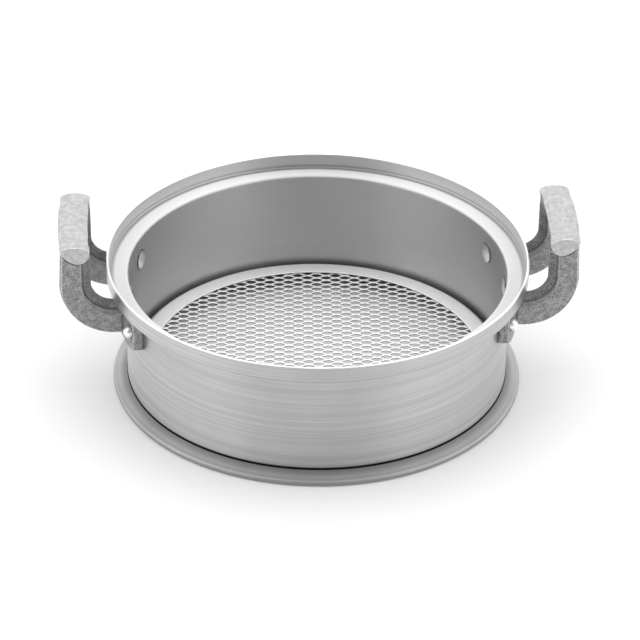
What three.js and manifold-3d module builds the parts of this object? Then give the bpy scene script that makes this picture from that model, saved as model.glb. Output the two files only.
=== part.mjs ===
// Aluminium steamer basket: one tier with a mesh floor and two cast handles.
// Millimetres, +Z up. The origin is on the ground under the middle of the basket.
// The handles lie along X. Every turned piece is a section swept about Z.
import * as THREE from "three";
import { mergeVertices } from "three/addons/utils/BufferGeometryUtils.js";
import Module from "manifold-3d";

const wasm = await Module();
wasm.setup();

// Fits and fineness
const fit_clearance = 0.3;
const cut_overrun = 3;
const turn_steps = 56;
const fillet_steps = 3;
const round_edge_steps = 4;

// Spun body: upright lip, flat step for a lid or the next tier, straight wall
const lip_outer_radius = 151.1;
const body_sheet = 1.8;
const step_width = 13.9;
const step_depth = 10.9;
const rim_height = 99.7;
const wall_foot_height = 8.7;
const lip_fillet = 2.2;
const step_fillet = 2.6;
const lip_inner_radius = lip_outer_radius - body_sheet;
const wall_inner_radius = lip_inner_radius - step_width;
const wall_outer_radius = wall_inner_radius + body_sheet;
const step_height = rim_height - step_depth;

// Base ring: flat ledge with a cut edge, leg inside the wall, flared foot with a rolled bead
const ring_sheet = 0.9;
const ledge_height = 15;
const ledge_width = 16.1;
const shoulder_fillet = 5.8;
const nest_clearance = 1.8;
const bead_radius = 2.2;
const bead_start_angle = 2.9;
const bead_steps = 6;
const foot_flat_width = 1.1;
const flare_drop = 1.6;
const leg_outer_radius = wall_inner_radius - fit_clearance;
const ledge_inner_radius = leg_outer_radius - ledge_width;
const flange_radius = lip_inner_radius - nest_clearance;
const bead_centre_radius = flange_radius - bead_radius;
const flare_start_height = wall_foot_height + fit_clearance;

// Mesh floor: expanded sheet with a plain border, spot-welded under the ledge
const mesh_sheet = 0.6;
const mesh_pitch_long = 35.3;
const mesh_pitch_short = 16.35;
const mesh_opening_long = 20;
const mesh_opening_short = 10.4;
const opening_crown_share = 0.5;
const mesh_turn = -0.04;
const mesh_margin = 0.8;
const mesh_border_width = 7.5;
const mesh_top_height = ledge_height - ring_sheet - fit_clearance;
const mesh_outer_radius = ledge_inner_radius + mesh_border_width;
const mesh_open_radius = ledge_inner_radius - mesh_margin;

// Cast handle: curved wall plate
const plate_thickness = 7;
const plate_height = 29.3;
const plate_length = 114;
const plate_corner = 5;
const plate_drop = 18.2;
const plate_arc_steps = 14;
const plate_centre_height = step_height - plate_drop;
const plate_back_radius = wall_outer_radius + fit_clearance;
const plate_face_radius = plate_back_radius + plate_thickness;

// Cast handle: grip, a bar with a crowned top, sharp edges and a deep belly
const grip_length = 79.4;
const grip_width = 21.4;
const grip_rise = 32.3;
const grip_crown = 3;
const grip_belly = 10.5;
const grip_bow = 1.7;
const grip_set_in = 0.35;
const grip_stations = 6;
const grip_edge_height = rim_height + grip_rise - grip_crown;

// Cast handle: two legs, each a quarter bend with a ridge along its parting line. The swell thickens a leg
// towards its root, where the ridge ends a little below the step.
const leg_width = 22.5;
const leg_thickness = 11;
const leg_set_back = 1.7;
const leg_rise = 0.65;
const leg_root = 1.5;
const leg_top_gap = 0.7;
const leg_swell = plate_drop - body_sheet - leg_top_gap - leg_rise - leg_width / 2;
const bend_inner_radius = 15.5;
const leg_buried = 0.4;
const leg_top_share = 0.98;
const bend_steps = 5;
const bend_radius = bend_inner_radius + leg_width / 2;
const bend_centre_x = plate_face_radius + leg_root;
const bend_centre_height = plate_centre_height + leg_rise + bend_radius;
const grip_end_x = bend_centre_x + bend_radius - grip_set_in;
const leg_offset = grip_length / 2 - leg_set_back - leg_thickness / 2;
const leg_start_x = Math.sqrt(plate_face_radius ** 2 - leg_offset ** 2) - plate_thickness / 2;

// Rivets: wide low head inside the wall, small dome on a spot face outside
const rivet_end_margin = 5.3;
const rivet_head_radius = 7.5;
const rivet_head_rise = 2;
const rivet_head_edge = 0.5;
const rivet_head_flat_share = 0.3;
const rivet_shank_radius = 2.8;
const rivet_dome_radius = 4.65;
const rivet_dome_rise = 5.3;
const rivet_dome_edge = 0.9;
const rivet_steps = 14;
const dome_steps = 3;
const spot_depth = 0.7;
const spot_clearance = 0.9;
const rivet_spread = Math.asin((plate_length / 2 - rivet_end_margin) / plate_face_radius);
const rivet_places = { front: -rivet_spread, middle: 0, rear: rivet_spread };

// Sections of the grip and the legs, as shares of half their width and of their depth
const grip_top_shares = [[1, 0], [0.52, 0.78], [0, 1], [-0.52, 0.78], [-1, 0]];
const grip_belly_shares = [[-1, 0.36], [-0.74, 0.8], [-0.2, 1], [0.33, 0.8], [0.72, 0.38]];
const leg_shares = [[-1, 0], [-0.4, -1], [0.85, -1], [1, 0], [0.85, 1], [-0.4, 1]];

function aluminium(name, geometry, color, roughness) {
  const material = new THREE.MeshStandardMaterial({ color, roughness, metalness: 1 });
  const mesh = new THREE.Mesh(geometry, material);
  mesh.name = name;
  return mesh;
}

// Closed geometry to a solid that can be joined and cut, and back
function solid(geometry) {
  const bare = geometry.clone();
  bare.deleteAttribute("normal");
  bare.deleteAttribute("uv");
  const merged = mergeVertices(bare);
  const vertProperties = new Float32Array(merged.getAttribute("position").array);
  const triVerts = new Uint32Array(merged.getIndex().array);
  return new wasm.Manifold(new wasm.Mesh({ numProp: 3, vertProperties, triVerts }));
}

function shape(body) {
  const { vertProperties, triVerts } = body.getMesh();
  const geometry = new THREE.BufferGeometry();
  geometry.setAttribute("position", new THREE.BufferAttribute(vertProperties, 3));
  geometry.setIndex(new THREE.BufferAttribute(triVerts, 1));
  geometry.computeVertexNormals();
  return geometry;
}

// Points of an arc in a section (radius across, height up), both ends included
function arc(centre, size, from, to, steps) {
  const points = [];
  for (let i = 0; i <= steps; i += 1) {
    const angle = from + (to - from) * i / steps;
    points.push(new THREE.Vector2(size * Math.cos(angle), size * Math.sin(angle)).add(centre));
  }
  return points;
}

function at(radius, height) {
  return new THREE.Vector2(radius, height);
}

// Section of a bent sheet: one face follows the path, the other lies a thickness to its left
function sheetSection(path, thickness) {
  const leftOf = (start, end) => {
    const along = end.clone().sub(start).normalize();
    return new THREE.Vector2(-along.y, along.x);
  };
  const back = path.map((point, i) => {
    const before = i > 0 ? leftOf(path[i - 1], point) : leftOf(point, path[i + 1]);
    const after = i < path.length - 1 ? leftOf(point, path[i + 1]) : before;
    const middle = before.clone().add(after).normalize();
    return point.clone().addScaledVector(middle, thickness / middle.dot(before));
  });
  return [...path, ...back.reverse()];
}

// Section turned about the Z axis; it runs counter-clockwise and is closed here
function turned(section) {
  return new THREE.LatheGeometry([...section, section[0]], turn_steps).rotateX(Math.PI / 2);
}

// Cylinder about Z whose flats match those of the turned pieces
function roundBar(radius, bottom, top) {
  const bar = new THREE.CylinderGeometry(radius, radius, top - bottom, turn_steps);
  return bar.rotateX(Math.PI / 2).translate(0, 0, (top + bottom) / 2);
}

// Cylinder that points away from the Z axis at a rivet's height
function radialBar(radius, inner, outer, angle) {
  const bar = new THREE.CylinderGeometry(radius, radius, outer - inner, rivet_steps);
  bar.rotateZ(Math.PI / 2);
  bar.translate((outer + inner) / 2, 0, plate_centre_height);
  return bar.rotateZ(angle);
}

// Skin over a row of sections with equally many corners, closed by flat ends
function loft(sections) {
  const corners = sections[0].length;
  const indices = [];
  for (let row = 0; row + 1 < sections.length; row += 1) {
    for (let i = 0; i < corners; i += 1) {
      const here = row * corners + i;
      const next = row * corners + (i + 1) % corners;
      indices.push(here, next, next + corners, here, next + corners, here + corners);
    }
  }
  const last = (sections.length - 1) * corners;
  for (let i = 1; i + 1 < corners; i += 1) {
    indices.push(0, i + 1, i, last, last + i, last + i + 1);
  }
  const geometry = new THREE.BufferGeometry().setFromPoints(sections.flat());
  geometry.setIndex(indices);
  return geometry;
}

function bodyShell() {
  const lip_centre = at(lip_inner_radius - lip_fillet, step_height + lip_fillet);
  const step_centre = at(wall_inner_radius + step_fillet, step_height - step_fillet);
  const rim_centre = at(lip_inner_radius + body_sheet / 2, rim_height - body_sheet / 2);
  const path = [
    at(lip_inner_radius, rim_centre.y),
    ...arc(lip_centre, lip_fillet, 0, -Math.PI / 2, fillet_steps),
    ...arc(step_centre, step_fillet, Math.PI / 2, Math.PI, fillet_steps),
    at(wall_inner_radius, wall_foot_height),
  ];
  const rim = arc(rim_centre, body_sheet / 2, 0, Math.PI, round_edge_steps).slice(1, -1);
  let body = solid(turned([...sheetSection(path, body_sheet), ...rim]));
  for (const side of [0, Math.PI]) {
    for (const angle of Object.values(rivet_places)) {
      const inner = wall_inner_radius - cut_overrun;
      const outer = wall_outer_radius + cut_overrun;
      body = body.subtract(solid(radialBar(rivet_shank_radius + fit_clearance, inner, outer, side + angle)));
    }
  }
  return shape(body);
}

// Quadratic curve of the foot flare, from the bead up to the leg
function flareCurve(start, control, end) {
  return new THREE.QuadraticBezierCurve(start, control, end).getPoints(fillet_steps).slice(1);
}

function baseRing() {
  const bead_centre = at(bead_centre_radius, bead_radius);
  const bead = arc(bead_centre, bead_radius, -Math.PI / 2, bead_start_angle, bead_steps);
  const flare_end = at(leg_outer_radius, flare_start_height);
  const flare_control = at(leg_outer_radius + fit_clearance, flare_start_height - flare_drop);
  const shoulder = at(leg_outer_radius - shoulder_fillet, ledge_height - shoulder_fillet);
  const path = [
    at(bead_centre_radius - foot_flat_width, 0),
    ...bead,
    ...flareCurve(bead[bead.length - 1], flare_control, flare_end),
    ...arc(shoulder, shoulder_fillet, 0, Math.PI / 2, fillet_steps),
    at(ledge_inner_radius, ledge_height),
  ];
  return turned(sheetSection(path, ring_sheet));
}

// One flat hexagonal opening of the expanded sheet, pointed along its long way
function meshOpening(x, y) {
  const half_long = mesh_opening_long / 2;
  const half_short = mesh_opening_short / 2;
  const crown = half_long * opening_crown_share;
  const corners = [[half_long, 0], [crown, half_short], [-crown, half_short],
    [-half_long, 0], [-crown, -half_short], [crown, -half_short]];
  const outline = new THREE.Shape(corners.map(([along, across]) => new THREE.Vector2(x + along, y + across)));
  const depth = mesh_sheet + 2 * cut_overrun;
  return new THREE.ExtrudeGeometry(outline, { depth, bevelEnabled: false });
}

// Places of the openings: a staggered grid, kept where the middle is well inside the border
function meshPlaces() {
  const places = [];
  const columns = Math.ceil(mesh_open_radius / (mesh_pitch_long / 2));
  const rows = Math.ceil(mesh_open_radius / mesh_pitch_short) + 1;
  for (let column = -columns; column <= columns; column += 1) {
    for (let row = -rows; row <= rows; row += 1) {
      const x = column * mesh_pitch_long / 2;
      const y = (row + (Math.abs(column) % 2) / 2) * mesh_pitch_short;
      if (Math.hypot(x, y) < mesh_open_radius - mesh_opening_short / 2) {
        places.push([x, y]);
      }
    }
  }
  return places;
}

function meshDisc() {
  const mesh_foot = mesh_top_height - mesh_sheet;
  const border = [
    at(mesh_open_radius, mesh_foot),
    at(mesh_outer_radius, mesh_foot),
    at(mesh_outer_radius, mesh_top_height),
    at(mesh_open_radius, mesh_top_height),
  ];
  const floor = solid(roundBar(mesh_open_radius, mesh_foot, mesh_top_height));
  const openings = meshPlaces().map(([x, y]) => {
    const opening = meshOpening(x, y);
    opening.translate(0, 0, mesh_foot - cut_overrun);
    return solid(opening.rotateZ(mesh_turn));
  });
  const net = floor.subtract(wasm.Manifold.compose(openings));
  return shape(net.add(solid(turned(border))));
}

function gripSection(y) {
  const along = 2 * y / grip_length;
  const middle = grip_end_x + grip_bow * (1 - along * along);
  const place = ([across, up], depth) => {
    return new THREE.Vector3(middle + across * grip_width / 2, y, grip_edge_height + up * depth);
  };
  const top = grip_top_shares.map((share) => place(share, grip_crown));
  const belly = grip_belly_shares.map((share) => place(share, -grip_belly));
  return [...top, ...belly];
}

function grip() {
  const sections = [];
  for (let i = 0; i <= grip_stations; i += 1) {
    sections.push(gripSection(grip_length / 2 - grip_length * i / grip_stations));
  }
  return solid(loft(sections));
}

// Section of a leg at a place on its path; the direction lies in the XZ plane
function legSection(x, height, direction, width, y) {
  return leg_shares.map(([across, side]) => {
    const swell = across < 0 ? leg_swell * Math.cos(direction) : 0;
    const out = across * width / 2 - swell;
    const section_x = x + out * Math.sin(direction);
    const section_z = height - out * Math.cos(direction);
    return new THREE.Vector3(section_x, y + side * leg_thickness / 2, section_z);
  });
}

function leg(y) {
  const sections = [legSection(leg_start_x, bend_centre_height - bend_radius, 0, leg_width, y)];
  for (let i = 0; i <= bend_steps; i += 1) {
    const direction = Math.PI / 2 * i / bend_steps;
    const x = bend_centre_x + bend_radius * Math.sin(direction);
    const height = bend_centre_height - bend_radius * Math.cos(direction);
    sections.push(legSection(x, height, direction, leg_width, y));
  }
  const top = grip_edge_height - leg_buried;
  sections.push(legSection(grip_end_x, top, Math.PI / 2, grip_width * leg_top_share, y));
  return solid(loft(sections));
}

// Wall plate: an arc in plan with square ends, its corners rounded in front view
function wallPlate() {
  const half_length = plate_length / 2;
  const spread = Math.asin(half_length / plate_face_radius);
  const back_x = Math.sqrt(plate_back_radius ** 2 - half_length ** 2) - cut_overrun;
  const face = arc(at(0, 0), plate_face_radius, -spread, spread, plate_arc_steps);
  const plan = new THREE.Shape([...face, at(back_x, half_length), at(back_x, -half_length)]);
  const slab = new THREE.ExtrudeGeometry(plan, { depth: plate_height, bevelEnabled: false });
  slab.translate(0, 0, plate_centre_height - plate_height / 2);

  const side = half_length - plate_corner;
  const end = plate_height / 2 - plate_corner;
  const outline = new THREE.Shape([
    ...arc(at(side, end), plate_corner, 0, Math.PI / 2, fillet_steps),
    ...arc(at(-side, end), plate_corner, Math.PI / 2, Math.PI, fillet_steps),
    ...arc(at(-side, -end), plate_corner, Math.PI, 3 * Math.PI / 2, fillet_steps),
    ...arc(at(side, -end), plate_corner, -Math.PI / 2, 0, fillet_steps),
  ]);
  const depth = plate_face_radius - back_x + 2 * cut_overrun;
  const front = new THREE.ExtrudeGeometry(outline, { depth, bevelEnabled: false });
  front.rotateX(Math.PI / 2).rotateZ(Math.PI / 2);
  front.translate(back_x - cut_overrun, 0, plate_centre_height);
  return solid(slab).intersect(solid(front));
}

function handle() {
  const wall_space = solid(roundBar(plate_back_radius, 0, rim_height));
  let casting = wallPlate().add(grip()).add(leg(leg_offset)).add(leg(-leg_offset)).subtract(wall_space);
  const spot_floor = plate_face_radius - spot_depth;
  const inner = plate_back_radius - cut_overrun;
  const outer = plate_face_radius + cut_overrun;
  for (const angle of Object.values(rivet_places)) {
    const hole = radialBar(rivet_shank_radius + fit_clearance, inner, outer, angle);
    const spot = radialBar(rivet_dome_radius + spot_clearance, spot_floor, outer, angle);
    casting = casting.subtract(solid(hole)).subtract(solid(spot));
  }
  return shape(casting);
}

// Rivet along X: the profile runs from the middle of the inner head to the top of the dome
function rivet() {
  const head_seat = Math.sqrt(wall_inner_radius ** 2 - rivet_head_radius ** 2) - fit_clearance;
  const head_top = head_seat - rivet_head_rise;
  const dome_seat = plate_face_radius - spot_depth + fit_clearance;
  const crown = rivet_dome_rise - rivet_dome_edge;
  const profile = [
    at(0, head_top),
    at(rivet_head_radius * rivet_head_flat_share, head_top),
    at(rivet_head_radius, head_seat - rivet_head_edge),
    at(rivet_head_radius, head_seat),
    at(rivet_shank_radius, head_seat),
    at(rivet_shank_radius, dome_seat),
    at(rivet_dome_radius, dome_seat),
  ];
  for (let i = 0; i <= dome_steps; i += 1) {
    const angle = Math.PI / 2 * i / dome_steps;
    const radius = i < dome_steps ? rivet_dome_radius * Math.cos(angle) : 0;
    profile.push(at(radius, dome_seat + rivet_dome_edge + crown * Math.sin(angle)));
  }
  const geometry = new THREE.LatheGeometry(profile, rivet_steps);
  return geometry.rotateZ(-Math.PI / 2).translate(0, 0, plate_centre_height);
}

const steamer_basket = new THREE.Group();
steamer_basket.add(aluminium("body_shell", bodyShell(), 0xc8cacb, 0.32));
steamer_basket.add(aluminium("base_ring", baseRing(), 0xc2c4c5, 0.35));
steamer_basket.add(aluminium("mesh_disc", meshDisc(), 0xe4e5e6, 0.45));

for (const [side, turn] of [["right", 0], ["left", Math.PI]]) {
  const grip_side = new THREE.Group();
  grip_side.rotation.z = turn;
  grip_side.add(aluminium(`handle_${side}`, handle(), 0xa9abac, 0.7));
  for (const [place, angle] of Object.entries(rivet_places)) {
    const fastener = aluminium(`rivet_${side}_${place}`, rivet(), 0xd2d3d4, 0.4);
    fastener.rotation.z = angle;
    grip_side.add(fastener);
  }
  steamer_basket.add(grip_side);
}

export default steamer_basket;
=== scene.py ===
"""Aluminium steamer basket: a spun tier with a mesh floor and two riveted cast handles.

Laid out as an add-on. Property groups hold the sizes and finishes, each piece has an operator, and a panel
in the 3D view's sidebar lists them. Run as a script, it makes every piece once around the packed frame.
Metres, +Z up. The origin is on the ground under the middle of the basket, and the handles lie along X.
"""

import math

import bmesh
import bpy
import numpy as np
from bpy.props import FloatProperty, FloatVectorProperty, IntProperty, PointerProperty
from mathutils import Matrix, Vector


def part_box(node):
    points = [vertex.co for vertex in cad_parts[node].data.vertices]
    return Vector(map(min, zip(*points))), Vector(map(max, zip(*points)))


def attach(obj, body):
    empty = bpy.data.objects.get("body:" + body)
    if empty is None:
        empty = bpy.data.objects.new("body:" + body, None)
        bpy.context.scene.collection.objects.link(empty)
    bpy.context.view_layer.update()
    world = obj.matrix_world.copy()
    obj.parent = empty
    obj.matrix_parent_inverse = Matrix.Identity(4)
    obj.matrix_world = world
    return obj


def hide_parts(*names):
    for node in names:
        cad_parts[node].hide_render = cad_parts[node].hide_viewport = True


bl_info = {
    "name": "Aluminium steamer basket",
    "version": (1, 0, 0),
    "blender": (4, 5, 0),
    "location": "View3D > Sidebar > Steamer",
    "description": "Makes the finished pieces of an aluminium steamer basket around its packed frame",
    "category": "Object",
}

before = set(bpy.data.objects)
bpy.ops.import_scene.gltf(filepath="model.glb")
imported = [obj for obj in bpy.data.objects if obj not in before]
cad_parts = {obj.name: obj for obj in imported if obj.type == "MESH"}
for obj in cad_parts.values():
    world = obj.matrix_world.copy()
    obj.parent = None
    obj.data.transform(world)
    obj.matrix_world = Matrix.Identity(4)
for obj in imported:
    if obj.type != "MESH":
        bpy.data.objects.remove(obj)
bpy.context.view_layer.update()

SHELL_LOW, SHELL_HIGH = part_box("body_shell")
RING_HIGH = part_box("base_ring")[1]
NET_LOW, NET_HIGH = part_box("mesh_disc")
HANDLE_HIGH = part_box("handle_right")[1]

FULL_TURN = 2 * math.pi
RIGHT_ANGLE = math.pi / 2
SIDES = {"right": 0.0, "left": math.pi}
TURNED_UV = "turned"
GROUND_SHARE = "ground"
WORN_SHARE = "worn"
# These two shares mark where shade is painted into the colour: the casting's hollows, and the mesh's cut
# walls and back.
HOLLOW_SHADE_SHARE = "hollow"
SHADED_SIDE_SHARE = "sheared"

# How far a cutting tool runs past what it cuts, and the gap between a rivet and its hole
OVERRUN = 0.003
HOLE_GAP = 0.00005
# Points nearer than this are one point on a turned surface
WELD = 1e-7

# Section of a leg as shares of half its width and thickness: a ridge with a groove at each foot
LEG_SHARES = np.array((
    (-1.02, 0), (-0.85, -0.34), (-0.6, -0.6), (-0.47, -0.68), (-0.4, -1), (0.85, -1), (1, 0),
    (0.85, 1), (-0.4, 1), (-0.47, 0.68), (-0.6, 0.6), (-0.85, 0.34),
))
LEG_GROOVE_SHARE = -0.45
LEG_TOP_SHARE = 0.98
# Steps of the curves of a rivet's head and dome
RIVET_CURVE = 8


def length(name, description, default):
    """A length in metres that a user can change."""
    return FloatProperty(name=name, description=description, default=default, unit="LENGTH", precision=5)


def share(name, description, default, top=1.0):
    """A plain number from 0 to top."""
    return FloatProperty(name=name, description=description, default=default, min=0.0, max=top)


def angle(name, description, default):
    """An angle in radians."""
    return FloatProperty(name=name, description=description, default=default, subtype="ANGLE")


def point(name, description, default):
    """A place in metres."""
    return FloatVectorProperty(
        name=name, description=description, default=default, unit="LENGTH", precision=5
    )


def tint(name, description, default):
    """A linear colour."""
    return FloatVectorProperty(
        name=name, description=description, default=default, subtype="COLOR", size=3, min=0.0, max=1.0
    )


class SteamerShell(bpy.types.PropertyGroup):
    """Sizes of the spun body: upright lip, flat step for a lid, straight wall."""

    lip_radius: length("Lip radius", "Outer radius of the upright lip", SHELL_HIGH.x)
    rim_height: length("Rim height", "Top of the lip above the ground", SHELL_HIGH.z)
    foot_height: length("Foot height", "Lower edge of the wall above the ground", SHELL_LOW.z + 0.0003)
    sheet: length("Sheet", "Thickness of the spun sheet", 0.0018)
    step_width: length("Step width", "From the lip's inner face to the wall's", 0.0139)
    step_depth: length("Step depth", "From the rim down to the step", 0.0109)
    lip_fillet: length("Lip fillet", "Inner radius between lip and step", 0.001)
    step_fillet: length("Step fillet", "Inner radius between step and wall", 0.0026)
    steps: IntProperty(name="Steps", description="Faces round the basket", default=384, min=24)


class SteamerRing(bpy.types.PropertyGroup):
    """Sizes of the pressed base ring: ledge, leg inside the wall, flared foot with a rolled bead."""

    flange_radius: length("Flange radius", "Outer radius of the foot", RING_HIGH.x)
    ledge_height: length("Ledge height", "Top of the ledge above the ground", RING_HIGH.z)
    ledge_width: length("Ledge width", "From the leg's outer face to the cut edge", 0.0161)
    sheet: length("Sheet", "Thickness of the ring's sheet", 0.0009)
    shoulder: length("Shoulder", "Outer radius between leg and ledge", 0.0058)
    bead_radius: length("Bead radius", "Outer radius of the rolled bead", 0.0022)
    foot_flat: length("Foot flat", "Width of the flat that stands on the ground", 0.0011)
    bead_end: angle("Bead end", "Where the bead runs into the flare", 1.42)
    flare_dip: length("Flare dip", "How far the flare follows the bead's slope", 0.0044)
    flare_rise: length("Flare rise", "Height over which the flare steepens to the leg", 0.0003)
    clearance: length("Clearance", "Gap between fitted pieces", 0.0003)


class SteamerNet(bpy.types.PropertyGroup):
    """Sizes of the expanded sheet. One opening's cell is a hexagon around a lens-shaped hole."""

    sheet: length("Sheet", "Thickness of the expanded sheet", 0.0006)
    pitch_long: length("Long pitch", "From one opening to the next in its row", 0.01417)
    pitch_short: length("Short pitch", "From one row to the next in its column", 0.0066)
    hole_long: length("Hole length", "Length of an opening", 0.0086)
    hole_short: length("Hole width", "Width of an opening", 0.0049)
    tilt: length("Strand tilt", "How far an opening's edges lie above and below the sheet", 0.00008)
    shift_long: length("Shift along", "Place of the middle opening along the rows", 0.00118)
    shift_short: length("Shift across", "Place of the middle opening across the rows", -0.0031)
    turn: angle("Turn", "Turn of the rows in the ring", -0.04)


class SteamerHandle(bpy.types.PropertyGroup):
    """Sizes of one casting: wall plate, two bent legs and the grip."""

    plate_thickness: length("Plate thickness", "Thickness of the wall plate", 0.007)
    plate_height: length("Plate height", "Height of the wall plate", 0.0293)
    plate_corner: length("Plate corner", "Corner radius of the wall plate", 0.005)
    plate_relief: length("End relief", "How far the plate's ends stand off the wall", 0.0018)
    plate_drop: length("Plate drop", "From the lid step down to the plate's middle", 0.0182)
    grip_length: length("Grip length", "Length of the grip", 0.0794)
    grip_width: length("Grip width", "Width of the grip", 0.0214)
    grip_crown: length("Grip crown", "Rise of the grip's top over its edges", 0.003)
    grip_belly: length("Grip belly", "Depth of the grip under its edges", 0.0105)
    grip_bow: length("Grip bow", "How far the grip bows outwards", 0.0017)
    grip_set_in: length("Grip set-in", "How far the grip's ends lie inside the legs' middle", 0.00035)
    leg_width: length("Leg width", "Width of a leg in the bend's plane", 0.0225)
    leg_thickness: length("Leg thickness", "Thickness of a leg", 0.011)
    leg_set_back: length("Leg set-back", "From the grip's end face to the leg's face", 0.0017)
    leg_rise: length("Leg rise", "From the plate's middle up to the legs' middle", 0.00065)
    leg_root: length("Leg root", "Straight stretch between plate and bend", 0.0015)
    leg_top_gap: length("Top gap", "From the leg's ridge up to the step's underside", 0.0007)
    bend_inner: length("Bend radius", "Inner radius of the bend", 0.0155)
    grain: length("Voxel", "Fineness of the casting's surface", 0.00048)


class SteamerRivet(bpy.types.PropertyGroup):
    """Sizes of one solid rivet: low head inside the wall, small dome outside."""

    end_margin: length("End margin", "From the plate's end to the outer rivets", 0.0053)
    head_radius: length("Head radius", "Radius of the inner head", 0.0075)
    head_rise: length("Head rise", "Rise of the inner head", 0.002)
    head_edge: length("Head edge", "Thickness of the inner head's edge", 0.0005)
    shank_radius: length("Shank radius", "Radius of the shank", 0.0028)
    dome_radius: length("Dome radius", "Radius of the outer dome", 0.00465)
    dome_rise: length("Dome rise", "Rise of the outer dome", 0.0053)
    dome_edge: length("Dome edge", "Straight foot of the outer dome", 0.0009)
    spot_depth: length("Spot depth", "Depth of the spot face in the plate", 0.0007)
    spot_margin: length("Spot margin", "Ring of the spot face around the dome", 0.0009)
    steps: IntProperty(name="Steps", description="Faces round a rivet", default=40, min=8)


class SteamerFinish(bpy.types.PropertyGroup):
    """Colours and gloss of the metals: spun, matt flat step and ledge painted lighter as if lit from above,
    pressed, expanded, cast, ground and upset.
    """

    spun: tint("Spun sheet", "Colour of the spun aluminium", (0.54, 0.542, 0.538))
    spun_roughness: share("Spun roughness", "Roughness of the spun aluminium", 0.42)
    # The flat step and ledge colour is a lighter copy of the sheet that stands in for top light, besides
    # their matt finish.
    faced_and_lit: tint("Faced flats", "Colour of the matt step and ledge", (0.86, 0.862, 0.859))
    faced_roughness: share("Faced roughness", "Roughness of the flat step and ledge", 0.62)
    pressed: tint("Pressed ring", "Colour of the base ring", (0.46, 0.462, 0.458))
    pressed_roughness: share("Pressed roughness", "Roughness of the base ring's foot", 0.55)
    expanded: tint("Expanded sheet", "Colour of the mesh", (0.97, 0.972, 0.97))
    expanded_roughness: share("Mesh roughness", "Roughness of the mesh", 0.5)
    cast: tint("Casting", "Colour of the sand-cast skin", (0.35, 0.351, 0.349))
    cast_roughness: share("Cast roughness", "Roughness of the sand-cast skin", 0.58)
    ground: tint("Ground face", "Colour of the grip's ground top and worn edges", (0.5, 0.502, 0.499))
    rivet: tint("Rivets", "Colour of the rivets", (0.9, 0.902, 0.899))
    rivet_roughness: share("Rivet roughness", "Roughness of the rivets", 0.3)


class SteamerStudio(bpy.types.PropertyGroup):
    """Camera, floor and soft light."""

    camera_place: point("Camera", "Where the camera stands", (-0.1234, -2.14444, 1.36459))
    camera_aim: point("Aim", "Point that the camera looks at", (0.00073, -0.02396, 0.06007))
    camera_roll: angle("Roll", "Roll of the camera", math.radians(0.677))
    lens: FloatProperty(name="Lens", description="Focal length in millimetres", default=196.3)
    floor_size: length("Floor size", "Width of the pale floor", 60.0)
    floor_tone: share("Floor tone", "How pale the floor is", 0.92)
    front_light: share("Front light", "Level of the dim side where the camera stands", 0.27, 4.0)
    side_light: share("Side light", "Level of the soft light at both sides", 1.43, 4.0)
    back_light: share("Back light", "Level of the backdrop behind the basket", 1.33, 4.0)
    top_light: share("Top light", "Level of the soft light overhead", 1.73, 4.0)


GROUPS = {
    "steamer_shell": SteamerShell,
    "steamer_ring": SteamerRing,
    "steamer_net": SteamerNet,
    "steamer_handle": SteamerHandle,
    "steamer_rivet": SteamerRivet,
    "steamer_finish": SteamerFinish,
    "steamer_studio": SteamerStudio,
}


def arc(centre, radius, start, end, steps):
    """Points of an arc in a section: centre + radius (cos a, sin a), with a from start to end."""
    a = np.linspace(start, end, steps + 1)
    return np.column_stack((centre[0] + radius * np.cos(a), centre[1] + radius * np.sin(a)))


def sheet_section(path, thickness):
    """Closed section of a bent sheet: the path, then the path shifted a thickness to its left, run back.

    At each corner the shift lies on the mitre: the mean of both left normals over the cosine between
    that mean and either normal.
    """
    along = np.diff(path, axis=0)
    along /= np.linalg.norm(along, axis=1, keepdims=True)
    left = np.column_stack((-along[:, 1], along[:, 0]))
    before = np.vstack((left[:1], left))
    after = np.vstack((left, left[-1:]))
    middle = before + after
    middle /= np.linalg.norm(middle, axis=1, keepdims=True)
    cosine = np.sum(middle * before, axis=1, keepdims=True)
    return np.vstack((path, (path + middle * thickness / cosine)[::-1]))


def mesh_of(name, points, faces):
    """Mesh from arrays: points (n, 3), and faces (m, corners) that all have as many corners."""
    mesh = bpy.data.meshes.new(name)
    corners = faces.shape[1]
    mesh.vertices.add(len(points))
    mesh.vertices.foreach_set("co", points.astype(np.float32).ravel())
    mesh.loops.add(faces.size)
    mesh.loops.foreach_set("vertex_index", faces.astype(np.int32).ravel())
    mesh.polygons.add(len(faces))
    mesh.polygons.foreach_set("loop_start", np.arange(0, faces.size, corners, dtype=np.int32))
    mesh.update(calc_edges=True)
    return mesh


def turned(name, section, steps):
    """Surface of revolution of a closed section (r, h): x = r cos a, y = r sin a, z = h.

    The section runs counter-clockwise, so the faces point outwards. The UV map "turned" holds the
    distance along the section in metres and the angle as a share of a full turn.
    """
    a = np.linspace(0, FULL_TURN, steps, endpoint=False)
    r, h = section.T
    x = np.outer(np.cos(a), r)
    y = np.outer(np.sin(a), r)
    points = np.stack((x, y, np.broadcast_to(h, x.shape)), axis=-1).reshape(-1, 3)
    count = len(section)
    i, j = (index.ravel() for index in np.meshgrid(np.arange(steps), np.arange(count), indexing="ij"))
    next_i = (i + 1) % steps
    next_j = (j + 1) % count
    faces = np.column_stack((i * count + j, next_i * count + j, next_i * count + next_j, i * count + next_j))
    mesh = mesh_of(name, points, faces)
    side = np.linalg.norm(np.roll(section, -1, axis=0) - section, axis=1)
    distance = np.concatenate(([0.0], np.cumsum(side)))
    u = np.column_stack((distance[j], distance[j], distance[j + 1], distance[j + 1]))
    v = np.column_stack((i, i + 1, i + 1, i)) / steps
    layer = mesh.uv_layers.new(name=TURNED_UV)
    layer.data.foreach_set("uv", np.stack((u, v), axis=-1).astype(np.float32).ravel())
    return mesh


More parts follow.
